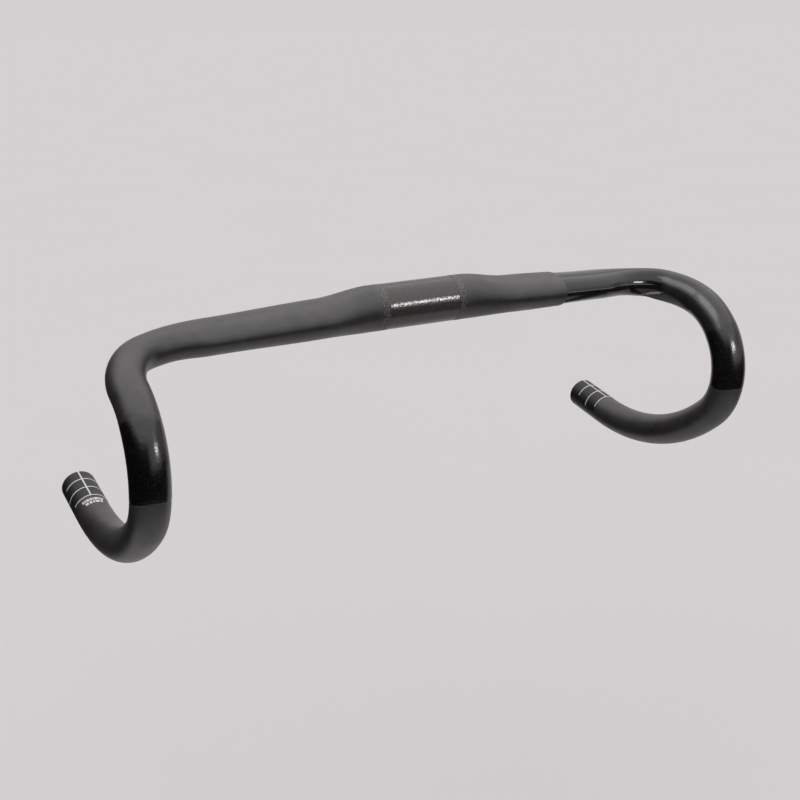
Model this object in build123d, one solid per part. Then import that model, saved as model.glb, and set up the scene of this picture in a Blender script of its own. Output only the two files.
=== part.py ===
from build123d import *
import os
from math import acos, cos, degrees, radians, sin

# Moulded drop handlebar. Millimetres, +Z up, X across the bike, -Y forwards.
# The origin is the middle of the stem clamp. Lengths along the bar are measured
# on its centre line from the origin outwards, the same on both sides.

# Stem clamp
CLAMP_R = 15.9  # half of the 31.8 mm standard
GRIP_HALF = 26.5  # the gritty clamp coat, each side of the middle
GRIP_COAT = 0.4
RING_END = 36.0  # outer end of the printed ring, where the round section ends
PRINT = 0.1  # thickness of a printed film
PLY_HALF, PLY_THICKNESS = 26.0, 1.5  # extra plies inside the clamp zone

# Wing-shaped tops: half chord (fore and aft) by half thickness (up and down)
WING_FULL = 73.5  # here the section is a full wing
WING_SIZE = (20.5, 13.0)
FADE_START, FADE_END = 149.3, 199.8  # where the wing fades to the round drop tube
FADE_SIZE = (20.0, 11.5)
WING_LEAD, WING_SINK = 1.9, 0.8  # how far the wing's centre sits forward and down
SWEEP, DROOP = 1.1, 1.8  # degrees that the tops lean back and down
BEND_START = 147.7

# Bends and hook. A direction is its turn from +X towards -Y, and its dip, in degrees.
SHOULDER_R, SHOULDER_TURN, SHOULDER_DIP = 80.0, 33.0, 2.5
RAMP_R, RAMP_TURN, RAMP_DIP = 45.0, 91.3, 19.8
FLARE = radians(0.8)  # the hook's plane leans outwards at the bottom
HOOK_R, HOOK_TURN = 47.5, radians(119.8)
TAIL_R, TAIL_TURN = 170.0, radians(48.4)
DROP_R = 11.9  # half of the 23.8 mm standard
END_LENGTH = 36.5  # straight end that may be cut shorter

# Laminate
TOP_WALL, DROP_WALL = 2.7, 1.8
WALL_FADE = 208.0  # the wall thins from the lap joint to here
LAP = 113.0  # joint between the wing and the bend
FERRULE_REACH, FERRULE_WALL = 12.0, 1.2
BOND = 0.2  # adhesive gap round a ferrule

# Hollow in the inner, lower side of the bend
SCOOP = 1.7
SCOOP_START, SCOOP_DEEP, SCOOP_HOLD, SCOOP_END = 150.0, 181.0, 200.0, 232.0
# Right side only: the bend is stepped down from the wing, up to a lip under the bend
STEP = 0.9
STEP_FADE, LIP, LIP_TIP = 168.0, 206.0, 188.0
LIP_ANGLE, LIP_TIP_ANGLE = radians(196.0), radians(226.0)

# Lever grip band, and the cutting guide on the end
BAND_START, BAND_END, BAND = 268.0, 309.0, 0.15
GUIDE_PITCH, GUIDE_COUNT, GUIDE_WIDTH = 12.0, 3, 0.9
GUIDE_SPAN, PANEL_SPAN = 136.0, 180.0  # degrees over the top of the tube
MARK_END, MARK_LENGTH, MARK_GAP = 481.0, 3.2, 1.2  # two plain bars, left side only
MARK_SPAN, MARK_TURN = 72.0, 2.0


def direction(turn, dip):
    """Unit vector turned from +X towards -Y, then dipped, both in degrees."""
    turn, dip = radians(turn), radians(dip)
    return Vector(cos(turn) * cos(dip), -sin(turn) * cos(dip), -sin(dip))


def ease(s, start, end):
    """0 before start, 1 after end, smooth between."""
    t = min(max((s - start) / (end - start), 0.0), 1.0)
    return t * t * (3 - 2 * t)


def square_to(v, tangent):
    """The unit vector square to tangent that is nearest to v."""
    return (v - tangent * v.dot(tangent)).normalized()


class Run:
    """A straight stretch, or an arc of radius r that turns towards side."""

    def __init__(self, start, tangent, length, side=None, r=None):
        self.start, self.tangent, self.length = start, tangent, length
        self.side, self.r = side, r

    def at(self, d):
        """Point and tangent at distance d."""
        if self.r is None:
            return self.start + self.tangent * d, self.tangent
        q = d / self.r
        point = self.start + self.tangent * (self.r * sin(q)) + self.side * (self.r * (1 - cos(q)))
        return point, self.tangent * cos(q) + self.side * sin(q)

    def edge(self, d0, d1):
        """The stretch from d0 to d1 as an edge."""
        first, middle, last = (self.at(d)[0] for d in (d0, (d0 + d1) / 2, d1))
        return Line(first, last) if self.r is None else ThreePointArc(first, middle, last)


TOP_AXIS = direction(-SWEEP, DROOP)


def top_at(s):
    """Point and tangent of the clamp zone and the wing at s."""
    if s <= RING_END:
        return Vector(s, 0, 0), Vector(1, 0, 0)
    lead = ease(s, RING_END, WING_FULL)
    offset = Vector(RING_END, -WING_LEAD * lead, -WING_SINK * lead)
    return offset + TOP_AXIS * (s - RING_END), TOP_AXIS


def centre_line():
    """The centre line beyond the wing, as (s at its start, Run) pairs."""
    runs, s = [], BEND_START
    point, tangent = top_at(BEND_START)

    def add_arc(toward, r, turn):
        nonlocal point, tangent, s
        runs.append((s, Run(point, tangent, r * turn, square_to(toward, tangent), r)))
        point, tangent = runs[-1][1].at(r * turn)
        s += r * turn

    shoulder = direction(SHOULDER_TURN, SHOULDER_DIP)
    add_arc(shoulder, SHOULDER_R, acos(tangent.dot(shoulder)))
    ramp = direction(RAMP_TURN, RAMP_DIP)
    add_arc(ramp, RAMP_R, acos(tangent.dot(ramp)))
    add_arc(Vector(sin(FLARE), 0, -cos(FLARE)), HOOK_R, HOOK_TURN)
    hook = runs[-1][1]
    add_arc(hook.side * cos(HOOK_TURN) - hook.tangent * sin(HOOK_TURN), TAIL_R, TAIL_TURN)
    runs.append((s, Run(point, tangent, END_LENGTH)))
    return runs


RUNS = centre_line()
HOOK_START = RUNS[2][0]  # joint between the bend and the drop
TAIL_END = RUNS[4][0]  # where the straight end begins
BAR_END = TAIL_END + END_LENGTH


def station(s):
    """Centre point and tangent at s, on the right side."""
    if s <= BEND_START:
        return top_at(s)
    start, run = [pair for pair in RUNS if pair[0] <= s + 1e-6][-1]
    return run.at(s - start)


def plane_at(s, shift=0.0):
    """Section plane at s, its centre moved by shift along the level chord and up."""
    point, tangent = station(s)
    back = Vector(-tangent.Y, tangent.X, 0).normalized()
    up = tangent.cross(back)
    return Plane(origin=point + (back + up) * shift, x_dir=back, z_dir=tangent)


def half_sizes(s):
    """Half chord and half thickness of the bar at s, before scoop and step."""
    chord, thick = CLAMP_R, CLAMP_R
    blends = [
        (WING_SIZE, ease(s, RING_END, WING_FULL)),
        (FADE_SIZE, ease(s, WING_FULL, FADE_START)),
        ((DROP_R, DROP_R), ease(s, FADE_START, FADE_END)),
    ]
    for (a, b), t in blends:
        chord, thick = chord + (a - chord) * t, thick + (b - thick) * t
    return chord, thick


def section(s, inset=0.0):
    """The bar's outline at s with the scoop taken off, then inset all round."""
    chord, thick = half_sizes(s)
    scoop = SCOOP * ease(s, SCOOP_START, SCOOP_DEEP) * (1 - ease(s, SCOOP_HOLD, SCOOP_END))
    inset += scoop / 2
    return plane_at(s, scoop / 2) * Ellipse(chord - inset, thick - inset)


def stations(s0, s1, gap=8.0):
    count = max(3, round((s1 - s0) / gap) + 1)
    return [s0 + (s1 - s0) * i / (count - 1) for i in range(count)]


def skin_form(s0, s1):
    """Solid inside the bar's outer skin from s0 to s1."""
    return loft([section(s) for s in stations(s0, s1)])


def stepped_form(s0, s1):
    """The same, stepped down for bar tape, with the step fading towards s1."""
    return loft([section(s, STEP * (1 - ease(s, STEP_FADE, LIP))) for s in stations(s0, s1)])


def wall_at(s):
    return TOP_WALL + (DROP_WALL - TOP_WALL) * ease(s, LAP, WALL_FADE)


def bore_form(s0, s1, extra=0.0):
    """Solid inside the bar's wall, or extra millimetres further in."""
    return loft([section(s, wall_at(s) + extra) for s in stations(s0, s1)])


def tube_form(s0, s1, r):
    """Round solid along the centre line beyond the wing."""
    edges = []
    for start, run in RUNS:
        d0, d1 = max(s0 - start, 0.0), min(s1 - start, run.length)
        if d1 - d0 > 1e-6:
            edges.append(run.edge(d0, d1).edge())
    return sweep(plane_at(s0) * Circle(r), path=Wire(edges))


def ring(half_length, r_outer, r_inner, x=0.0):
    """Tube along X about x."""
    outline = Circle(r_outer) - Circle(r_inner)
    return Pos(x, 0, 0) * extrude(Plane.YZ * outline, amount=half_length, both=True)


# Centre
def clamp_core():
    """Tube of the clamp zone, stepped down under the coat and the rings."""
    bore = CLAMP_R - TOP_WALL
    return ring(RING_END, CLAMP_R - PRINT, bore) - ring(GRIP_HALF, CLAMP_R, CLAMP_R - GRIP_COAT)


def clamp_grip_coat():
    return ring(GRIP_HALF, CLAMP_R, CLAMP_R - GRIP_COAT)


def clamp_plies():
    bore = CLAMP_R - TOP_WALL
    return ring(PLY_HALF, bore, bore - PLY_THICKNESS)


def clamp_ring():
    width = RING_END - GRIP_HALF
    return ring(width / 2, CLAMP_R, CLAMP_R - PRINT, GRIP_HALF + width / 2)


# Tops and bends
def wing():
    return skin_form(RING_END, LAP) - bore_form(RING_END, LAP)


def bend_left():
    """Made on the right, like every piece, and mirrored when it is written."""
    return skin_form(LAP, HOOK_START) - bore_form(LAP, HOOK_START)


def lip():
    """Pointed lip under the bend: the full round tube below a slanted plane."""
    points = []
    for s, angle in ((LIP, LIP_ANGLE), (LIP_TIP, LIP_TIP_ANGLE)):
        plane = plane_at(s)
        outwards = plane.x_dir * cos(angle) + plane.y_dir * sin(angle)
        points.append((plane.origin + outwards * DROP_R, outwards))
    (base, base_out), (tip, tip_out) = points
    along = (base - tip).normalized()
    up = square_to(base_out + tip_out, along).cross(along)
    if up.Z < 0:
        up = -up
    above = Plane(origin=tip, x_dir=along, z_dir=up) * Box(
        4 * DROP_R, 4 * DROP_R, 4 * DROP_R, align=(Align.CENTER, Align.CENTER, Align.MIN)
    )
    return tube_form(LIP_TIP, LIP, DROP_R) - above


def bend_right():
    stepped = stepped_form(LAP, LIP)
    inner_end = stepped - bore_form(LAP, LIP)
    outer_end = tube_form(LIP, HOOK_START, DROP_R) - bore_form(LIP, HOOK_START)
    return inner_end + (lip() - stepped) + outer_end


def ferrule(joint):
    """Sleeve bonded inside the joint at s, half of it in each moulding."""
    s0, s1 = max(joint - FERRULE_REACH, PLY_HALF + BOND), joint + FERRULE_REACH
    return bore_form(s0, s1, BOND) - bore_form(s0, s1, BOND + FERRULE_WALL)


def drop_ferrule():
    """Round sleeve in the joint of the bend and the drop, past the end of the scoop."""
    s0, s1 = max(HOOK_START - FERRULE_REACH, SCOOP_END), HOOK_START + FERRULE_REACH
    r = DROP_R - DROP_WALL - BOND
    return tube_form(s0, s1, r) - tube_form(s0, s1, r - FERRULE_WALL)


# Drops
def drop():
    return tube_form(HOOK_START, BAR_END, DROP_R) - tube_form(HOOK_START, BAR_END, DROP_R - DROP_WALL)


def lever_grip():
    return tube_form(BAND_START, BAND_END, DROP_R + BAND) - tube_form(BAND_START, BAND_END, DROP_R)


def over_top(s0, s1, r_inner, span, turn=0.0):
    """Printed film on the tube, span degrees wide over its top, from s0 to s1."""
    film = tube_form(s0, s1, r_inner + PRINT) - tube_form(s0, s1, r_inner)
    reach, fan = 2 * DROP_R, 4
    angles = [radians(90 + turn + span * (i / fan - 0.5)) for i in range(fan + 1)]
    points = [(0, 0)] + [(reach * cos(a), reach * sin(a)) for a in angles]
    middle = plane_at((s0 + s1) / 2)
    wedge = extrude(middle * make_face(Polyline(*points, close=True)), amount=s1 - s0, both=True)
    return film & wedge


def end_panel():
    return over_top(BAR_END - GUIDE_COUNT * GUIDE_PITCH - GUIDE_WIDTH / 2, BAR_END, DROP_R, PANEL_SPAN)


def cut_guide():
    """White lines across the panel, one every GUIDE_PITCH, and one along it."""
    r = DROP_R + PRINT
    line_span = degrees(GUIDE_WIDTH / r)
    last = BAR_END - GUIDE_COUNT * GUIDE_PITCH
    guide = over_top(last, BAR_END, r, line_span)
    for i in range(1, GUIDE_COUNT + 1):
        s = BAR_END - i * GUIDE_PITCH
        guide += over_top(s - GUIDE_WIDTH / 2, s + GUIDE_WIDTH / 2, r, GUIDE_SPAN)
    return guide


def size_mark():
    bars = []
    for i in range(2):
        s1 = MARK_END - i * (MARK_LENGTH + MARK_GAP)
        bars.append(over_top(s1 - MARK_LENGTH, s1, DROP_R, MARK_SPAN, MARK_TURN))
    return Compound(bars)


def write(name, shape):
    export_step(shape, f"parts/{name}.step")


os.makedirs("parts", exist_ok=True)
write("clamp_core", clamp_core())
write("clamp_grip_coat", clamp_grip_coat())
write("clamp_plies", clamp_plies())
write("bend_right", bend_right())
write("bend_left", mirror(bend_left(), about=Plane.YZ))
write("size_mark_left", mirror(size_mark(), about=Plane.YZ))
pairs = {
    "clamp_ring": clamp_ring(),
    "wing": wing(),
    "clamp_ferrule": ferrule(RING_END),
    "wing_ferrule": ferrule(LAP),
    "drop_ferrule": drop_ferrule(),
    "drop": drop(),
    "lever_grip": lever_grip(),
    "end_panel": end_panel(),
    "cut_guide": cut_guide(),
}
for name, shape in pairs.items():
    write(f"{name}_right", shape)
    write(f"{name}_left", mirror(shape, about=Plane.YZ))

end_point, end_axis = station(BAR_END)
print("right end of the bar at", end_point, "pointing along", end_axis)
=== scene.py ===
from math import acos, cos, pi, radians, sin

import bpy
import numpy as np
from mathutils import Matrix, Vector, noise


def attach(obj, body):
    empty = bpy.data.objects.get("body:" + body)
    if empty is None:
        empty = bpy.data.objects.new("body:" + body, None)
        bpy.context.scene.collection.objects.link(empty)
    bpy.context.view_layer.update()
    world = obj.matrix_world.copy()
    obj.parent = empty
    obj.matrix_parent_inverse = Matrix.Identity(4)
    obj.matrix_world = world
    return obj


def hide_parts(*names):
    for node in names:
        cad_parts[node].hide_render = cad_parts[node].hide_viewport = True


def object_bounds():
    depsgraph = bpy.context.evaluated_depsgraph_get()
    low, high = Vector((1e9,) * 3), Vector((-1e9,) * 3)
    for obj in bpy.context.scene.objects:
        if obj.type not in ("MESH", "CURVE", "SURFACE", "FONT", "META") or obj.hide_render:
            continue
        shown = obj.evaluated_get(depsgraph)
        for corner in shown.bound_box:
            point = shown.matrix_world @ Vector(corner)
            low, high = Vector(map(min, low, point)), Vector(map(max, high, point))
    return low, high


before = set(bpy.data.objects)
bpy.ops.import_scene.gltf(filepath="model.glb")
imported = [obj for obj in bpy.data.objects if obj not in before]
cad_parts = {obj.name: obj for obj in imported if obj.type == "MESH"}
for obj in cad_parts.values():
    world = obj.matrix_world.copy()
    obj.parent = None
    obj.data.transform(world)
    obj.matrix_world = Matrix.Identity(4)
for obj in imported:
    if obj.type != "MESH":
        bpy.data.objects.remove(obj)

CAD_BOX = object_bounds()

# Lengths below are in millimetres, in the frame of the CAD model, and MM turns them
# into metres when a mesh is made. Lengths along the bar run on its centre line from
# the middle outwards. Angles round a section run from its back (0) over its top (90)
# to its front (180). Pieces are made for the right side, and mirrored for the left.
MM = 0.001

# Stem clamp
CLAMP_R = 15.9
GRIP_HALF, GRIP_COAT = 26.5, 0.4
RING_END = 36.0
PRINT, PRINT_SINK = 0.1, 0.02  # a print's height, and how far it reaches into what it is on

# Pebbles of the gritty coat, with a finer unevenness over them
PEBBLE, PEBBLE_HEIGHT, PEBBLE_SINK, PEBBLE_FADE = 1.0, 0.10, 0.07, 0.8
FINE_RATE, FINE_HEIGHT = 2.2, 0.03

# Ornament on the rings: its place beyond the coat, its half width and reach, its stroke
MOTIF_COUNT, MOTIF_OFFSET = 16, 3.2
MOTIF_HALF, MOTIF_REACH, MOTIF_STROKE = 2.1, 2.3 / CLAMP_R, 0.65
LOOP_POINTS, CHEVRON_SHOULDER, CHEVRON_NOTCH = 20, 0.2, 0.1
MITRE_LIMIT = 0.4

# Wing-shaped tops: half chord by half thickness
WING_FULL, WING_SIZE = 73.5, (20.5, 13.0)
FADE_START, FADE_END, FADE_SIZE = 149.3, 199.8, (20.0, 11.5)
WING_LEAD, WING_SINK = 1.9, 0.8
SWEEP, DROOP = 1.1, 1.8
BEND_START = 147.7

# Bends, hook and drop
SHOULDER_R, SHOULDER_TURN, SHOULDER_DIP = 80.0, 33.0, 2.5
RAMP_R, RAMP_TURN, RAMP_DIP = 45.0, 91.3, 19.8
FLARE = radians(0.8)
HOOK_R, HOOK_TURN = 47.5, radians(119.8)
TAIL_R, TAIL_TURN = 170.0, radians(48.4)
DROP_R = 11.9
END_LENGTH = 36.5

# Laminate wall
TOP_WALL, DROP_WALL, WALL_FADE = 2.7, 1.8, 208.0
LAP = 113.0

# Hollow in the inner, lower side of the bend
SCOOP = 1.7
SCOOP_START, SCOOP_DEEP, SCOOP_HOLD, SCOOP_END = 150.0, 181.0, 200.0, 232.0

# Right bend: stepped down from the wing, up to a pointed lip under the bend
STEP, STEP_FADE = 0.9, 168.0
LIP, LIP_TIP, LIP_FOOT = 206.0, 189.0, 238.0
LIP_ANGLE, LIP_TIP_ANGLE, LIP_FOOT_ANGLE = radians(200), radians(217), radians(292)
LIP_EDGE = 0.5
LIP_SOFT, LIP_SOFT_TURN = 8.0, (radians(16), radians(30))  # the edge softens away from the tip
SHELL_EDGE = 0.45  # rounding of the wing's open edge

# Lever grip band, cutting guide and print. The band's upper edge slants, tilts and
# feathers out, and its lower edge sags.
BAND_START, BAND_END, BAND = 267.0, 308.4, 0.15
BAND_SLANT, BAND_TILT, BAND_SAG, BAND_FEATHER = 1.8, 1.2, 2.6, 6.0
BAND_LIFT, BAND_SINK, BAND_EDGE = 0.02, 0.05, 0.4
BAND_GRAIN, BAND_GRAIN_RATE = 0.02, 0.9
SATIN_START, SATIN_END = 203.0, 210.0  # the right bend's gloss turns to satin here
SATIN_SHORT = 1.0  # the satin stops this far short of the band's end, under the band
GUIDE_PITCH, GUIDE_COUNT, GUIDE_WIDTH = 12.0, 3, 0.95
GUIDE_SPANS, PANEL_SPAN = (radians(136), radians(176), radians(136)), radians(180)
GUIDE_LIFT = 0.01  # keeps the lines across clear of the line along
MARK_END, MARK_LENGTH, MARK_GAP = 481.0, 3.2, 1.2
MARK_SPAN, MARK_TURN = radians(72), radians(2)
MARK_ROWS = ((0.9, 0.5, 1.2, 0.4, 0.7, 1.0, 0.5, 0.6), (0.5, 0.9, 0.4, 0.6, 0.8))
MARK_SPACE, MARK_TAPER = 0.22, 0.2  # between blocks, and how much shorter the second row is
END_EDGE = 0.5  # rounding of the cut tube end

# Mesh density: columns round a section, and the step between rows along the bar
AROUND, COAT_AROUND, BEND_AROUND = 160, 300, 224
ALONG, HOOK_STEP, RING_STEP, EDGE_STEP, COAT_STEP = 1.6, 0.8, 1.0, 0.4, 0.33
BAND_ROWS, RIM_POINTS = 100, 5
PATCH_TURN = radians(2.5)
SHARP_ANGLE = radians(40)  # edges sharper than this aren't smoothed over
LAP_FINE, LIP_FINE, FOOT_FINE = 2, 4, 2  # how far the fine rows reach at the lap and the lip


def ease(s, start, end):
    """0 before start, 1 after end, smooth between."""
    t = np.clip((np.asarray(s, float) - start) / (end - start), 0, 1)
    return t * t * (3 - 2 * t)


# ---------------------------------------------------------------- centre line
def direction(turn, dip):
    """Unit vector at a turn from +X towards -Y and a dip, in degrees."""
    turn, dip = radians(turn), radians(dip)
    return Vector((cos(turn) * cos(dip), -sin(turn) * cos(dip), -sin(dip)))


def square_to(v, tangent):
    """Unit vector of the part of v that is square to the tangent."""
    return (v - tangent * v.dot(tangent)).normalized()


TOP_AXIS = direction(-SWEEP, DROOP)


def wing_point(s):
    """Centre of the wing at s, as an array."""
    lead = ease(s, RING_END, WING_FULL)[..., None]
    start = np.array((RING_END, 0, 0)) - lead * np.array((0, WING_LEAD, WING_SINK))
    return start + np.array(TOP_AXIS) * (np.asarray(s, float)[..., None] - RING_END)


def bend_runs():
    """Arcs and the straight end as (s, length, start, tangent, side, radius)."""
    runs, s = [], BEND_START
    point, tangent = Vector(wing_point(np.array(s))), TOP_AXIS

    def arc(toward, r, turn):
        nonlocal point, tangent, s
        side = square_to(toward, tangent)
        runs.append((s, r * turn, point, tangent, side, r))
        point = point + tangent * (r * sin(turn)) + side * (r * (1 - cos(turn)))
        tangent, s = tangent * cos(turn) + side * sin(turn), s + r * turn
        return side

    shoulder = direction(SHOULDER_TURN, SHOULDER_DIP)
    arc(shoulder, SHOULDER_R, acos(tangent.dot(shoulder)))
    ramp = direction(RAMP_TURN, RAMP_DIP)
    arc(ramp, RAMP_R, acos(tangent.dot(ramp)))
    first = tangent.copy()
    side = arc(Vector((sin(FLARE), 0, -cos(FLARE))), HOOK_R, HOOK_TURN)
    arc(side * cos(HOOK_TURN) - first * sin(HOOK_TURN), TAIL_R, TAIL_TURN)
    runs.append((s, END_LENGTH, point, tangent, Vector((0, 0, 0)), None))
    return runs


RUNS = bend_runs()
HOOK_START = RUNS[2][0]
BAR_END = RUNS[4][0] + END_LENGTH


def station(s):
    """Centre points and tangents at the lengths s, any shape of array."""
    s = np.asarray(s, float)
    point, tangent = wing_point(s), np.broadcast_to(np.array(TOP_AXIS), s.shape + (3,)).copy()
    inner = s <= RING_END
    point[inner] = np.stack([s[inner], 0 * s[inner], 0 * s[inner]], -1)
    tangent[inner] = (1, 0, 0)
    for start, _, origin, along, side, r in RUNS:
        here = s > start
        d = (s[here] - start)[..., None]
        origin, along, side = np.array(origin), np.array(along), np.array(side)
        if r is None:
            point[here], tangent[here] = origin + along * d, along
        else:
            q = d / r
            point[here] = origin + along * (r * np.sin(q)) + side * (r * (1 - np.cos(q)))
            tangent[here] = along * np.cos(q) + side * np.sin(q)
    return point, tangent


def section_axes(s):
    """Centre, level back vector and up vector at s."""
    point, tangent = station(s)
    back = np.stack([-tangent[..., 1], tangent[..., 0], np.zeros(tangent.shape[:-1])], -1)
    back /= np.linalg.norm(back, axis=-1, keepdims=True)
    return point, back, np.cross(tangent, back)


def place(s, u, v):
    """Points u back and v up from the centre line at s."""
    point, back, up = section_axes(s)
    return point + back * np.asarray(u)[..., None] + up * np.asarray(v)[..., None]


# ---------------------------------------------------------------- surfaces
def half_sizes(s):
    """Half chord and half thickness of the section at s."""
    chord, thick = CLAMP_R + 0 * s, CLAMP_R + 0 * s
    blends = (
        (WING_SIZE, ease(s, RING_END, WING_FULL)),
        (FADE_SIZE, ease(s, WING_FULL, FADE_START)),
        ((DROP_R, DROP_R), ease(s, FADE_START, FADE_END)),
    )
    for (a, b), t in blends:
        chord, thick = chord + (a - chord) * t, thick + (b - thick) * t
    return chord, thick


def skin_offsets(s, angle, inset=0.0):
    """Distances back and up from the centre line to the bar's skin."""
    chord, thick = half_sizes(s)
    scoop = SCOOP * ease(s, SCOOP_START, SCOOP_DEEP) * (1 - ease(s, SCOOP_HOLD, SCOOP_END)) / 2
    u = scoop + (chord - inset - scoop) * np.cos(angle)
    v = scoop + (thick - inset - scoop) * np.sin(angle)
    return u, v


def skin(s, angle, inset=0.0):
    """The bar's outer surface, or one that lies inset under it."""
    return place(s, *skin_offsets(s, angle, inset))


def tube(r):
    """Round surface of radius r about the centre line."""
    return lambda s, angle: place(s, r * np.cos(angle), r * np.sin(angle))


def hook_out(s, angle):
    """Centres and outward vectors round the hook: 0 outboard, 90 the hook's convex side.

    Unlike the level axes these stay steady where the tube is upright."""
    point, tangent = station(s)
    side = np.array((1.0, 0, 0)) - tangent * tangent[..., :1]
    side /= np.linalg.norm(side, axis=-1, keepdims=True)
    return point, side * np.cos(angle)[..., None] + np.cross(tangent, side) * np.sin(angle)[..., None]


def hook_tube(r):
    """Round surface of radius r about the hook and drop."""
    def surface(s, angle):
        point, out = hook_out(s, angle)
        return point + out * r
    return surface


def bore(s, angle):
    """The inner surface of the laminate, whose wall thins towards the drop."""
    wall = TOP_WALL + (DROP_WALL - TOP_WALL) * ease(s, LAP, WALL_FADE)
    return skin(s, angle, wall)


def lip_edge(angle):
    """Where the lip begins at this angle: a point at its tip, running out both ways."""
    spots = (LIP_ANGLE, LIP_TIP_ANGLE, LIP_FOOT_ANGLE)
    return np.interp(angle, spots, (LIP, LIP_TIP, LIP_FOOT))


def right_bend_skin(s, angle):
    """The stepped skin, with the full round tube beyond the lip's edge."""
    u, v = skin_offsets(s, angle, STEP * (1 - ease(s, STEP_FADE, LIP)))
    soft = LIP_SOFT * ease(np.abs(angle - LIP_TIP_ANGLE), *LIP_SOFT_TURN)
    soft = np.where(angle > LIP_TIP_ANGLE, 0, soft)
    edge = lip_edge(angle)
    full = ease(s, edge - LIP_EDGE, edge + LIP_EDGE + soft)
    u, v = u + (DROP_R * np.cos(angle) - u) * full, v + (DROP_R * np.sin(angle) - v) * full
    return place(s, u, v)


def clamp_surface(r):
    """Round surface about the X axis. Here s is the X position."""
    def surface(s, angle):
        return np.stack([s + 0 * angle, r * np.cos(angle) + 0 * s, r * np.sin(angle) + 0 * s], -1)
    return surface


# ---------------------------------------------------------------- meshes
def make_object(name, points, faces, mirrored, cover=None):
    """An object from points in millimetres, its faces turned outwards on either side.

    cover is the share of the material's second coat at each point, from 0 to 1."""
    points = points * MM
    if mirrored:
        points = points * (-1, 1, 1)
        faces = faces[:, ::-1]
    mesh = bpy.data.meshes.new(name)
    mesh.vertices.add(len(points))
    mesh.vertices.foreach_set("co", points.ravel())
    mesh.loops.add(faces.size)
    mesh.loops.foreach_set("vertex_index", faces.ravel())
    mesh.polygons.add(len(faces))
    mesh.polygons.foreach_set("loop_start", np.arange(0, faces.size, faces.shape[1]))
    mesh.update(calc_edges=True)
    if cover is not None:
        mesh.attributes.new("cover", "FLOAT", "POINT").data.foreach_set("value", cover.ravel())
    mesh.validate()
    mesh.shade_smooth()
    mesh.set_sharp_from_angle(angle=SHARP_ANGLE)
    piece = bpy.data.objects.new(name, mesh)
    bpy.context.collection.objects.link(piece)
    return piece


def grid_faces(rows, columns, loop_rows):
    """Quads over a grid of points that closes round its columns."""
    i, j = np.meshgrid(np.arange(rows if loop_rows else rows - 1), np.arange(columns), indexing="ij")
    i, j = i.ravel(), j.ravel()
    i1, j1 = (i + 1) % rows, (j + 1) % columns
    return np.stack([i * columns + j, i * columns + j1, i1 * columns + j1, i1 * columns + j], 1)


def rim(e):
    """Steps (along, inwards) from 0 to e round an edge of radius e."""
    turns = np.linspace(0, pi / 2, RIM_POINTS)
    return [(e * sin(q), e * (1 - cos(q))) for q in turns] if e else [(0.0, 0.0)]


def shell(name, outer, inner, lengths, wall, edges=(0, 0), around=AROUND, mirrored=False, cover=None):
    """Closed tube wall between two surfaces, its two ends rounded by edges."""
    s0, s1 = lengths[0], lengths[-1]
    e0, e1 = edges
    middle = [s for s in lengths if s0 + 2 * e0 < s < s1 - 2 * e1] if e0 or e1 else lengths[1:-1]
    start = [(s0 + e0 - a, i / wall) for a, i in rim(e0)]
    end = [(s1 - e1 + a, i / wall) for a, i in rim(e1)]
    outside = start[::-1] + [(s, 0.0) for s in middle] + end
    inside = [(s, 1 - share) for s, share in outside[::-1]]
    loop = np.array(outside + inside)
    angle = np.arange(around) * 2 * pi / around
    s, angle = np.meshgrid(loop[:, 0], angle, indexing="ij")
    share = loop[:, 1][:, None, None]
    points = outer(s, angle) * (1 - share) + inner(s, angle) * share
    faces = grid_faces(len(loop), around, True)
    return make_object(name, points.reshape(-1, 3), faces, mirrored, cover and cover(s, angle))


def film(name, outer, inner, start, end, angles, steps, mirrored=False):
    """Thin closed patch between two surfaces, from start to end along the bar."""
    m = len(angles)
    around = np.concatenate([angles, angles[::-1]])
    s = start + (end - start) * np.linspace(0, 1, steps + 1)[:, None] + 0 * around
    angle = np.broadcast_to(around, s.shape)
    points = np.where(np.arange(2 * m)[None, :, None] < m, outer(s, angle), inner(s, angle))
    side = grid_faces(steps + 1, 2 * m, False)
    j = np.arange(m - 1)
    cap = np.stack([j, 2 * m - 1 - j, 2 * m - 2 - j, j + 1], 1)
    faces = np.concatenate([side, cap, cap[:, ::-1] + steps * 2 * m])
    return make_object(name, points.reshape(-1, 3), faces, mirrored)


def join(name, pieces):
    """One object of several, with the given name."""
    with bpy.context.temp_override(active_object=pieces[0], selected_editable_objects=pieces):
        bpy.ops.object.join()
    pieces[0].name = pieces[0].data.name = name
    return pieces[0]


def spaced(s0, s1, gap=ALONG):
    """Even lengths from s0 to s1, about gap apart."""
    return np.linspace(s0, s1, max(3, round((s1 - s0) / gap) + 1))


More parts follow.
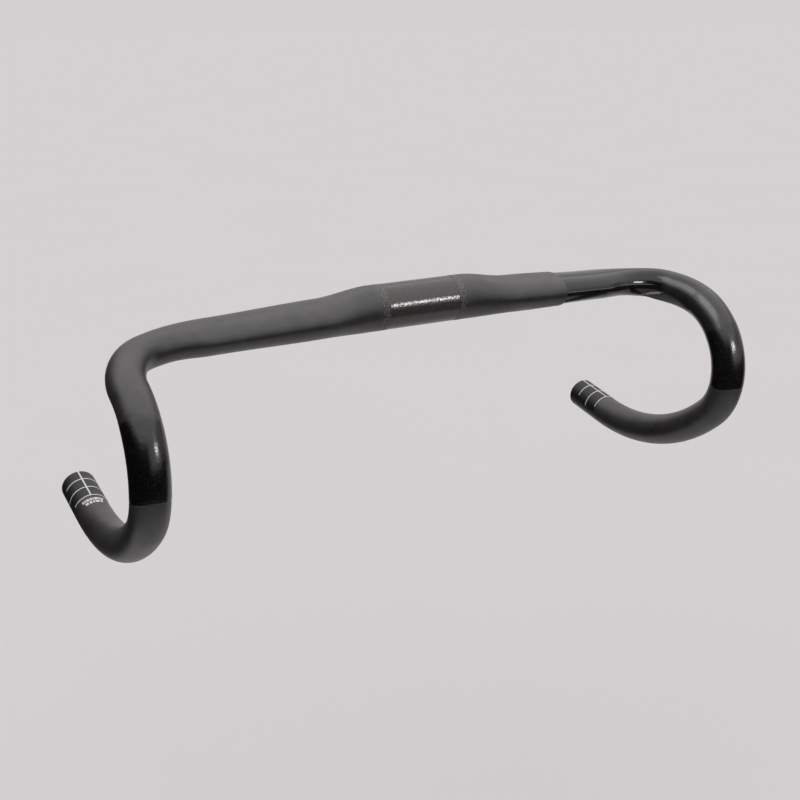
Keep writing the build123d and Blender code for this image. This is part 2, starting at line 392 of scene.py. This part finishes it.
# ---------------------------------------------------------------- materials
class Nodes:
    """A material's nodes round its Principled shader, in object coordinates."""

    def __init__(self, name, **sockets):
        self.material = bpy.data.materials.new(name)
        self.material.use_nodes = True
        self.tree = self.material.node_tree
        self.shader = self.tree.nodes["Principled BSDF"]
        for socket, value in sockets.items():
            self.shader.inputs[socket.replace("_", " ")].default_value = value
        self.place = self.tree.nodes.new("ShaderNodeTexCoord").outputs["Object"]

    def link(self, output, target):
        self.tree.links.new(output, target)

    def noise(self, size, detail=3.0, roughness=0.55, stretch=(1, 1, 1)):
        """Noise with features about size millimetres across."""
        mapping = self.tree.nodes.new("ShaderNodeMapping")
        mapping.inputs["Scale"].default_value = stretch
        self.link(self.place, mapping.inputs["Vector"])
        node = self.tree.nodes.new("ShaderNodeTexNoise")
        node.inputs["Scale"].default_value = 1 / (size * MM)
        node.inputs["Detail"].default_value = detail
        node.inputs["Roughness"].default_value = roughness
        self.link(mapping.outputs["Vector"], node.inputs["Vector"])
        return node.outputs["Fac"]

    def cells(self, size):
        node = self.tree.nodes.new("ShaderNodeTexVoronoi")
        node.inputs["Scale"].default_value = 1 / (size * MM)
        self.link(self.place, node.inputs["Vector"])
        return node.outputs["Distance"]

    def ramp(self, value, low, high, start=0.3, end=0.7):
        """Value from start to end, spread over low to high."""
        node = self.tree.nodes.new("ShaderNodeMapRange")
        node.inputs["From Min"].default_value = start
        node.inputs["From Max"].default_value = end
        node.inputs["To Min"].default_value = low
        node.inputs["To Max"].default_value = high
        self.link(value, node.inputs["Value"])
        return node.outputs["Result"]

    def math(self, operation, a, b):
        node = self.tree.nodes.new("ShaderNodeMath")
        node.operation = operation
        for socket, value in zip(node.inputs, (a, b)):
            if isinstance(value, (int, float)):
                socket.default_value = value
            else:
                self.link(value, socket)
        return node.outputs[0]

    def tint(self, value, dark, light, start=0.3, end=0.7):
        node = self.tree.nodes.new("ShaderNodeValToRGB")
        for stop, place, tone in zip(node.color_ramp.elements, (start, end), (dark, light)):
            stop.position, stop.color = place, (*tone, 1)
        self.link(value, node.inputs["Fac"])
        return node.outputs["Color"]

    def colour(self, *ramp):
        self.link(self.tint(*ramp), self.shader.inputs["Base Color"])

    def rough(self, value):
        self.link(value, self.shader.inputs["Roughness"])

    def cover(self):
        """The coat's own cover, 0 to 1, as its mesh carries it."""
        node = self.tree.nodes.new("ShaderNodeAttribute")
        node.attribute_name = "cover"
        return node.outputs["Fac"]

    def blend(self, share, bare, coated, kind="RGBA"):
        """bare where share is 0, coated where it is 1."""
        node = self.tree.nodes.new("ShaderNodeMix")
        node.data_type = kind
        sockets = [i for i in node.inputs if i.enabled and i.type in (kind, "VALUE")]
        for socket, value in zip(sockets, (share, bare, coated)):
            self.link(value, socket)
        return [o for o in node.outputs if o.enabled][0]

    def bump(self, *layers):
        """Bumps as (height, depth in millimetres) pairs, one on the other."""
        normal = None
        for height, depth in layers:
            node = self.tree.nodes.new("ShaderNodeBump")
            node.inputs["Strength"].default_value = 1.0
            node.inputs["Distance"].default_value = depth * MM
            self.link(height, node.inputs["Height"])
            if normal:
                self.link(normal, node.inputs["Normal"])
            normal = node.outputs["Normal"]
        self.link(normal, self.shader.inputs["Normal"])
        return self.material


def matte_tone(n):
    """Colour and roughness of the matte coat: warm near-black, mottled, with a dusty grain."""
    grain, mottle = n.noise(0.35, 2), n.noise(9, 4)
    tone = n.math("ADD", n.math("MULTIPLY", grain, 0.45), n.math("MULTIPLY", mottle, 0.55))
    return (n.tint(tone, (0.012, 0.0114, 0.0108), (0.031, 0.0294, 0.0279), 0.36, 0.64),
            n.ramp(n.noise(14, 3), 0.38, 0.45))


def matte_laminate():
    """Matte clear coat over the laminate."""
    n = Nodes("matte_laminate", IOR=1.6)
    tone, rough = matte_tone(n)
    n.link(tone, n.shader.inputs["Base Color"])
    n.rough(rough)
    return n.bump((n.noise(0.5, 3), 0.012), (n.noise(5, 2), 0.035))


def satin_tone(n):
    """Colour and roughness of the rubbed coat: near-black with a fine speckle."""
    return (n.tint(n.noise(0.5, 2), (0.006, 0.006, 0.006), (0.020, 0.019, 0.018), 0.40, 0.68),
            n.ramp(n.noise(8, 4), 0.19, 0.27))


def gloss_laminate():
    """Polished black coat with a slight orange peel, rubbed to satin where cover is 1."""
    n = Nodes("gloss_laminate", IOR=1.45)
    satin, satin_rough = satin_tone(n)
    black = n.tint(n.noise(6, 4), (0.003, 0.003, 0.003), (0.007, 0.0068, 0.0066))
    polish = n.ramp(n.noise(3.5, 4, 0.6, (0.25, 1, 1)), 0.07, 0.13)
    cover = n.cover()
    n.link(n.blend(cover, black, satin), n.shader.inputs["Base Color"])
    n.rough(n.blend(cover, polish, satin_rough, "FLOAT"))
    return n.bump((n.noise(2.2, 2), 0.005), (n.noise(0.4, 2), 0.0015))


def satin_laminate():
    """Half-rubbed coat on the outer bend: soft sheen with a fine speckle."""
    n = Nodes("satin_laminate", IOR=1.5)
    tone, rough = satin_tone(n)
    n.link(tone, n.shader.inputs["Base Color"])
    n.rough(rough)
    return n.bump((n.noise(1.4, 2), 0.018), (n.noise(0.5, 2), 0.008))


def grit_coat():
    """Clear coat over fine grit: glossy pebbles with duller hollows."""
    n = Nodes("grit_coat", IOR=1.5)
    pebble = n.cells(0.9)
    n.colour(n.noise(1.0, 3), (0.019, 0.0172, 0.0165), (0.044, 0.0400, 0.0380))
    n.rough(n.ramp(pebble, 0.06, 0.20, 0.1, 0.6))
    return n.bump((n.noise(0.5, 2), 0.006))


def grip_band(name, under):
    """Black, glassy band with a fine speckle, thinning to what is under it at its edge."""
    n = Nodes(name, IOR=1.5)
    tone, rough = under(n)
    cover = n.ramp(n.math("ADD", n.cover(), n.math("MULTIPLY", n.noise(0.9, 3), 0.5)), 0, 1, 0.45, 1.0)
    black = n.tint(n.noise(0.7, 2), (0.0015, 0.0015, 0.0015), (0.012, 0.0115, 0.011), 0.48, 0.70)
    n.link(n.blend(cover, tone, black), n.shader.inputs["Base Color"])
    n.rough(n.blend(cover, rough, n.ramp(n.noise(0.9, 3), 0.12, 0.30), "FLOAT"))
    return n.bump((n.noise(1.5, 2), 0.05), (n.noise(0.6, 2), 0.012))


def ring_base():
    """Even grey-black ground of the rings beside the coat."""
    n = Nodes("ring_base", IOR=1.6)
    n.colour(n.noise(0.6, 3), (0.020, 0.0190, 0.0182), (0.033, 0.0314, 0.0300))
    n.rough(n.ramp(n.noise(4, 3), 0.40, 0.48))
    return n.bump((n.noise(0.5, 2), 0.008))


def ring_print():
    """Tone-on-tone grey ink, thin and a little patchy."""
    n = Nodes("ring_print", IOR=1.5)
    n.colour(n.noise(0.8, 4), (0.085, 0.081, 0.077), (0.135, 0.130, 0.125))
    n.rough(n.ramp(n.noise(1.5, 2), 0.45, 0.6))
    return n.bump((n.noise(0.4, 2), 0.006))


def panel_print():
    """Even satin black of the end panels."""
    n = Nodes("panel_print", IOR=1.5)
    n.colour(n.noise(0.5, 3), (0.004, 0.004, 0.004), (0.009, 0.0088, 0.0086))
    n.rough(n.ramp(n.noise(3, 3), 0.42, 0.50))
    return n.bump((n.noise(0.45, 2), 0.01))


def white_print():
    """Off-white ink with slightly uneven cover."""
    n = Nodes("white_print", IOR=1.45)
    n.colour(n.noise(0.7, 4), (0.48, 0.48, 0.47), (0.60, 0.60, 0.59))
    n.rough(n.ramp(n.noise(1.2, 2), 0.4, 0.55))
    return n.bump((n.noise(0.35, 2), 0.008))


def bare_laminate():
    """Bare twill laminate: two sets of diagonal tows under resin."""
    n = Nodes("bare_laminate", IOR=1.5)
    wave = n.tree.nodes.new("ShaderNodeTexWave")
    wave.bands_direction = "DIAGONAL"
    wave.inputs["Scale"].default_value = 160.0
    wave.inputs["Distortion"].default_value = 0.6
    n.link(n.place, wave.inputs["Vector"])
    weave = n.math("MULTIPLY", wave.outputs["Fac"], n.noise(2.4, 2, 0.5, (1, 3, 3)))
    n.colour(weave, (0.014, 0.014, 0.015), (0.050, 0.050, 0.052), 0.1, 0.6)
    n.rough(n.ramp(n.noise(1.5, 3), 0.35, 0.55))
    return n.bump((weave, 0.03), (n.noise(0.4, 2), 0.01))


MATERIALS = {
    build.__name__: build()
    for build in (
        matte_laminate, gloss_laminate, satin_laminate, grit_coat, ring_base,
        ring_print, panel_print, white_print, bare_laminate,
    )
}
MATERIALS["grip_band_left"] = grip_band("grip_band_left", matte_tone)
MATERIALS["grip_band_right"] = grip_band("grip_band_right", satin_tone)


def finish_piece(piece, look, node=None):
    """Gives a new piece its material and body, and hides the CAD node it stands for."""
    piece.data.materials.append(MATERIALS[look])
    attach(piece, "root")
    if node:
        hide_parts(node)


# ---------------------------------------------------------------- pieces
def clamp_coat():
    """The gritty coat: rounded pebbles pressed close together all over it."""
    inner = clamp_surface(CLAMP_R - GRIP_COAT)

    def outer(s, angle):
        points = clamp_surface(CLAMP_R - PEBBLE_SINK)(s, angle)
        flat = points.reshape(-1, 3)
        bumps = np.array([1 - min(noise.voronoi(Vector(p) / PEBBLE)[0][0], 1.0) for p in flat])
        fine = np.array([noise.noise(Vector(p) * FINE_RATE) for p in flat])
        size = (bumps ** 2 * PEBBLE_HEIGHT + fine * FINE_HEIGHT).reshape(s.shape)
        fade = 1 - ease(np.abs(s), GRIP_HALF - PEBBLE_FADE, GRIP_HALF)
        return points + (size * fade)[..., None] * np.stack([0 * s, np.cos(angle), np.sin(angle)], -1)

    lengths = spaced(-GRIP_HALF, GRIP_HALF, COAT_STEP)
    return shell("clamp_grip_coat_pebbled", outer, inner, lengths, GRIP_COAT, around=COAT_AROUND)


def ring_motif(kind, x, angle):
    """Outline of one ornament as closed (x, angle) points: an oval loop or a chevron."""
    half, reach = MOTIF_HALF, MOTIF_REACH
    if kind == "loop":
        turns = np.arange(LOOP_POINTS) * 2 * pi / LOOP_POINTS
        spots = [(half * cos(q), reach * sin(q)) for q in turns]
    else:
        shoulder, notch = half * CHEVRON_SHOULDER, -half * CHEVRON_NOTCH
        spots = ((-half, -reach), (shoulder, -reach), (half, 0), (shoulder, reach),
                 (-half, reach), (notch, 0))
    return [(x + a, angle + b) for a, b in spots]


def ring_stroke(name, outline, width, mirrored):
    """A closed line of print along the outline, standing on the ring."""
    flat = np.array([(x, angle * CLAMP_R) for x, angle in outline])
    count = len(flat)
    before, after = np.roll(flat, 1, 0), np.roll(flat, -1, 0)
    a = (flat - before) / np.linalg.norm(flat - before, axis=1, keepdims=True)
    b = (after - flat) / np.linalg.norm(after - flat, axis=1, keepdims=True)
    normal = np.stack([-(a + b)[:, 1], (a + b)[:, 0]], 1)
    normal /= np.linalg.norm(normal, axis=1, keepdims=True)
    lean = np.abs(np.sum(normal * np.stack([-a[:, 1], a[:, 0]], 1), 1))
    mitre = width / 2 / np.maximum(lean, MITRE_LIMIT)
    left, right = flat + normal * mitre[:, None], flat - normal * mitre[:, None]
    rows = [(left, PRINT / 2), (right, PRINT / 2), (right, -PRINT / 2), (left, -PRINT / 2)]
    points = np.concatenate([
        np.stack([p[:, 0], (CLAMP_R + h) * np.cos(p[:, 1] / CLAMP_R),
                  (CLAMP_R + h) * np.sin(p[:, 1] / CLAMP_R)], 1)
        for p, h in rows
    ])
    return make_object(name, points, grid_faces(4, count, True)[:, ::-1], mirrored)


def ring_print_piece(side, mirrored):
    """A plain ornament round the ring, loops and chevrons in turn."""
    x = GRIP_HALF + MOTIF_OFFSET
    strokes = [
        ring_stroke("stroke", ring_motif("loop" if i % 2 else "chevron", x, i * 2 * pi / MOTIF_COUNT),
                    MOTIF_STROKE, mirrored)
        for i in range(MOTIF_COUNT)
    ]
    return join(f"clamp_ring_ornament_{side}", strokes)


def over_top(start, end, r, span, turn=0.0, name="patch", mirrored=False):
    """Print on the tube from start to end, centred over its top."""
    middle = pi / 2 + turn
    count = max(3, round(span / PATCH_TURN) + 1)
    angles = np.linspace(middle - span / 2, middle + span / 2, count)
    steps = max(2, round((end - start) / ALONG))
    return film(name, tube(r + PRINT), tube(r - PRINT_SINK), start, end, angles, steps, mirrored)


def cut_guide(side, mirrored):
    """Lines across the end, one every GUIDE_PITCH, and one along it."""
    r, last = DROP_R + PRINT, BAR_END - GUIDE_COUNT * GUIDE_PITCH
    lines = [over_top(last, BAR_END - END_EDGE, r, GUIDE_WIDTH / r, mirrored=mirrored)]
    for i, span in enumerate(GUIDE_SPANS, 1):
        s = BAR_END - i * GUIDE_PITCH
        lines.append(over_top(s - GUIDE_WIDTH / 2, s + GUIDE_WIDTH / 2, r + GUIDE_LIFT, span,
                              mirrored=mirrored))
    return join(f"cut_guide_lines_{side}", lines)


def size_mark():
    """Two rows of plain blocks in place of a maker's print."""
    blocks = []
    for row, widths in enumerate(MARK_ROWS):
        end = MARK_END - row * (MARK_LENGTH + MARK_GAP)
        span = MARK_SPAN * (1 - MARK_TAPER * row)
        scale = span / (sum(widths) + MARK_SPACE * (len(widths) - 1))
        turn = MARK_TURN - span / 2
        for width in widths:
            middle = turn + width * scale / 2
            blocks.append(over_top(end - MARK_LENGTH, end, DROP_R, width * scale, middle,
                                   mirrored=True))
            turn += (width + MARK_SPACE) * scale
    return join("size_mark_blocks_left", blocks)


def grip_film(side, mirrored):
    """The band round the hook, its upper edge slanted and feathered, its face speckled."""
    angles = np.arange(AROUND) * 2 * pi / AROUND
    start = BAND_START - BAND_SLANT * np.cos(angles) + BAND_TILT * np.sin(angles) - BAND_FEATHER / 2
    end = BAND_END + BAND_SAG * np.cos(angles) ** 2
    s = start + (end - start) * np.linspace(0, 1, BAND_ROWS)[:, None]
    angle = np.broadcast_to(angles, s.shape)
    cover = ease(s, start, start + BAND_FEATHER)
    point, out = hook_out(s, angle)
    flat = (point + out * DROP_R).reshape(-1, 3)
    grain = np.array([noise.noise(Vector(p) * BAND_GRAIN_RATE) for p in flat]).reshape(s.shape)
    lift = BAND_LIFT + (BAND + BAND_GRAIN * grain) * cover * (1 - ease(s, end - BAND_EDGE, end))
    outside = point + out * (DROP_R + lift)[..., None]
    inside = (point + out * (DROP_R - BAND_SINK))[::-1]
    points = np.concatenate([outside, inside])
    faces = grid_faces(len(points), AROUND, True)
    cover = np.concatenate([cover, cover[::-1]])
    return make_object(f"lever_grip_film_{side}", points.reshape(-1, 3), faces, mirrored, cover)


def satin_above(drop, s):
    """The drop takes the bend's satin coat down to s, in front of the clamp's axis."""
    drop.data.materials.append(MATERIALS["satin_laminate"])
    point, tangent = (np.array(v) for v in station(np.array(s)))
    centres = np.empty(len(drop.data.polygons) * 3)
    drop.data.polygons.foreach_get("center", centres)
    above = (centres.reshape(-1, 3) / MM - point) @ tangent < 0
    above &= centres.reshape(-1, 3)[:, 1] < 0
    drop.data.polygons.foreach_set("material_index", above.astype(np.int32))


def build_side(side, mirrored):
    """The outside pieces of one side of the bar, each with its material."""
    def done(piece, look, node):
        finish_piece(piece, look, f"{node}_{side}" if node else None)

    lengths = np.concatenate([spaced(RING_END, LAP - LAP_FINE)[:-1],
                              spaced(LAP - LAP_FINE, LAP, EDGE_STEP)])
    edge = 0 if mirrored else SHELL_EDGE
    wing = shell(f"wing_skin_{side}", skin, bore, lengths, TOP_WALL, (0, edge), mirrored=mirrored)
    done(wing, "matte_laminate", "wing")

    if mirrored:
        bend = shell("bend_skin_left", skin, bore, spaced(LAP, HOOK_START), TOP_WALL, mirrored=True)
        done(bend, "matte_laminate", "bend")
    else:
        fine_start, fine_end = LIP_TIP - LIP_FINE, LIP_FOOT + FOOT_FINE
        lengths = np.concatenate([spaced(LAP, fine_start)[:-1],
                                  spaced(fine_start, fine_end, EDGE_STEP)[:-1],
                                  spaced(fine_end, HOOK_START, HOOK_STEP)])
        bend = shell("bend_skin_right", right_bend_skin, bore, lengths, TOP_WALL, around=BEND_AROUND,
                     cover=lambda s, angle: ease(s, SATIN_START, SATIN_END))
        done(bend, "gloss_laminate", "bend")

    drop = shell(f"drop_skin_{side}", hook_tube(DROP_R), hook_tube(DROP_R - DROP_WALL),
                 spaced(HOOK_START, BAR_END), DROP_WALL, (0, END_EDGE), mirrored=mirrored)
    done(drop, "matte_laminate", "drop")
    if not mirrored:
        satin_above(drop, BAND_END - SATIN_SHORT)
    done(grip_film(side, mirrored), f"grip_band_{side}", "lever_grip")

    ring = shell(f"clamp_ring_base_{side}", clamp_surface(CLAMP_R), clamp_surface(CLAMP_R - PRINT),
                 spaced(GRIP_HALF, RING_END, RING_STEP), PRINT, mirrored=mirrored)
    done(ring, "ring_base", "clamp_ring")
    done(ring_print_piece(side, mirrored), "ring_print", None)

    panel_start = BAR_END - GUIDE_COUNT * GUIDE_PITCH - GUIDE_WIDTH / 2
    panel = over_top(panel_start, BAR_END - END_EDGE, DROP_R, PANEL_SPAN,
                     name=f"end_panel_film_{side}", mirrored=mirrored)
    done(panel, "panel_print", "end_panel")
    done(cut_guide(side, mirrored), "white_print", "cut_guide")


finish_piece(clamp_coat(), "grit_coat", "clamp_grip_coat")
build_side("right", False)
build_side("left", True)
finish_piece(size_mark(), "white_print", "size_mark_left")

# The rest of the CAD nodes stay: the core, plies and ferrules inside the bar.
for name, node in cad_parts.items():
    node.data.materials.clear()
    node.data.materials.append(MATERIALS["bare_laminate"])

# ---------------------------------------------------------------- camera
AZIMUTH, ELEVATION, ROLL = radians(-27.602), radians(16.67), radians(-0.547)
DISTANCE, FOCUS_X, FOCUS_Z = 0.809163, -0.000425, -0.043221
LENS, SENSOR, SHIFT_X, SHIFT_Y = 51.81, 36, -0.0197, -0.0471


def add_camera():
    """The camera, fitted to the bar's outline in the photo."""
    back = Vector((sin(AZIMUTH) * cos(ELEVATION), -cos(AZIMUTH) * cos(ELEVATION), sin(ELEVATION)))
    data = bpy.data.cameras.new("camera")
    data.lens, data.sensor_width = LENS, SENSOR
    data.shift_x, data.shift_y = SHIFT_X, SHIFT_Y
    camera = bpy.data.objects.new("camera", data)
    bpy.context.collection.objects.link(camera)
    camera.location = Vector((FOCUS_X, 0, FOCUS_Z)) + back * DISTANCE
    camera.rotation_mode = "QUATERNION"
    turn = (-back).to_track_quat("-Z", "Y")
    roll = Vector((1, 0, 0)).rotation_difference(Vector((cos(ROLL), sin(ROLL), 0)))
    camera.rotation_quaternion = turn @ roll
    bpy.context.scene.camera = camera


# ---------------------------------------------------------------- studio
PALE = (0.658, 0.631, 0.638)
FLOOR_TONE, FLOOR_MOTTLE, FLOOR_DROP, FLOOR_HALF = 0.789, 0.005, 0.30, 60.0

# The surroundings as the reflections in the photo show them. Each pair is where a change
# starts and ends, in the X, the height or the forward part of a unit vector.
ROOM, ROOM_RISE = 1.5, (0.02, 0.9)  # how much lighter than the horizon it is overhead
FRONT_WAY, FRONT_SIDES, FRONT_HORIZON = (0.1, -1.0, 0), (-0.1, 0.25), (-0.035, -0.015)
LEFT_SIDES, LEFT_HEIGHT = (-0.22, 0.10), (0.28, 0.58)
DARK, DARK_BOTTOM = 0.02, (-0.76, -0.58)


def add_floor():
    """A wide, plain pale floor under the bar. Only the camera sees it."""
    low, half = CAD_BOX[0].z - FLOOR_DROP, FLOOR_HALF
    mesh = bpy.data.meshes.new("floor")
    corners = [(-half, -half, low), (half, -half, low), (half, half, low), (-half, half, low)]
    mesh.from_pydata(corners, [], [(0, 1, 2, 3)])
    floor = bpy.data.objects.new("floor", mesh)
    bpy.context.collection.objects.link(floor)
    n = Nodes("floor", IOR=1.3, Roughness=0.9, Specular_IOR_Level=0.0)
    n.colour(n.noise(400, 2), (FLOOR_TONE,) * 3, (FLOOR_TONE + FLOOR_MOTTLE,) * 3)
    mesh.materials.append(n.material)
    floor.visible_glossy = floor.visible_diffuse = False
    return floor


def add_world():
    """Pale, even surroundings, dark below the horizon in front and low down on the left."""
    world = bpy.data.worlds.new("studio")
    bpy.context.scene.world = world
    world.use_nodes = True
    tree = world.node_tree
    new, link = tree.nodes.new, tree.links.new
    background = tree.nodes["Background"]

    def ramp(value, low, high, change):
        node = new("ShaderNodeMapRange")
        node.interpolation_type = "SMOOTHSTEP"
        for socket, number in zip(("From Min", "From Max", "To Min", "To Max"), (*change, low, high)):
            node.inputs[socket].default_value = number
        link(value, node.inputs["Value"])
        return node.outputs["Result"]

    def product(a, b):
        node = new("ShaderNodeMath")
        node.operation = "MULTIPLY"
        link(a, node.inputs[0])
        link(b, node.inputs[1])
        return node.outputs[0]

    way = new("ShaderNodeTexCoord").outputs["Generated"]
    split = new("ShaderNodeSeparateXYZ")
    link(way, split.inputs[0])
    height = split.outputs["Z"]
    towards = new("ShaderNodeVectorMath")
    towards.operation = "DOT_PRODUCT"
    towards.inputs[1].default_value = FRONT_WAY
    link(way, towards.inputs[0])
    front = product(ramp(towards.outputs["Value"], 0, 1, FRONT_SIDES), ramp(height, 1, 0, FRONT_HORIZON))
    left = product(ramp(split.outputs["X"], 1, 0, LEFT_SIDES), ramp(height, 1, 0, LEFT_HEIGHT))
    dark = new("ShaderNodeMath")
    dark.operation = "MAXIMUM"
    link(front, dark.inputs[0])
    link(left, dark.inputs[1])
    shade = product(dark.outputs[0], ramp(height, 0, 1, DARK_BOTTOM))
    rise = ramp(height, 1.0, ROOM, ROOM_RISE)
    light = new("ShaderNodeMix")
    light.data_type = "FLOAT"
    link(shade, light.inputs["Factor"])
    link(rise, light.inputs[2])
    light.inputs[3].default_value = DARK
    background.inputs["Color"].default_value = (*PALE, 1)
    link(light.outputs[0], background.inputs["Strength"])


def add_panel(name, location, target, size, radiance, lit):
    """A soft area light of the given radiance that lights what the collection lit allows."""
    data = bpy.data.lights.new(name, "AREA")
    data.shape = "RECTANGLE"
    data.size, data.size_y = size
    data.energy = radiance * pi * size[0] * size[1]
    lamp = bpy.data.objects.new(name, data)
    bpy.context.collection.objects.link(lamp)
    lamp.location = location
    lamp.rotation_mode = "QUATERNION"
    lamp.rotation_quaternion = (Vector(target) - Vector(location)).to_track_quat("-Z", "Y")
    lamp.visible_camera = False
    lamp.light_linking.receiver_collection = lit


def only(name, *pieces):
    """A collection that keeps a lamp's light to these pieces."""
    collection = bpy.data.collections.new(name)
    for piece in pieces:
        collection.objects.link(bpy.data.objects[piece])
    return collection


floor = add_floor()
add_world()
add_camera()
off_floor = bpy.data.collections.new("off_floor")
off_floor.objects.link(floor)
off_floor.collection_objects[0].light_linking.link_state = "EXCLUDE"
right_side = only("right_side", "bend_skin_right", "drop_skin_right", "lever_grip_film_right")
shiny = only("shiny", "clamp_grip_coat_pebbled", "lever_grip_film_left",
             "lever_grip_film_right", "bend_skin_right", "drop_skin_right")
bend_only = only("bend_only", "bend_skin_right")
add_panel("overhead", location=(0, -0.28, 0.72), target=(0, -0.28, 0), size=(2.6, 2.0),
          radiance=0.75, lit=off_floor)
add_panel("upper_left", location=(-0.47, -0.06, 1.08), target=(0.2, -0.06, 0), size=(1.0, 0.8),
          radiance=3.2, lit=right_side)
add_panel("front_wall", location=(1.0, -1.5, 0.33), target=(1.0, 0, 0.33), size=(2.2, 0.72),
          radiance=0.5, lit=off_floor)
add_panel("front_softbox", location=(0.27, -0.57, 0.15), target=(0, 0, 0), size=(0.20, 0.08),
          radiance=26.0, lit=shiny)
add_panel("low_strip", location=(0.4, -1.5, -0.09), target=(0, 0, -0.09), size=(2.8, 0.13),
          radiance=3.5, lit=bend_only)

bpy.context.scene.view_settings.view_transform = "Standard"
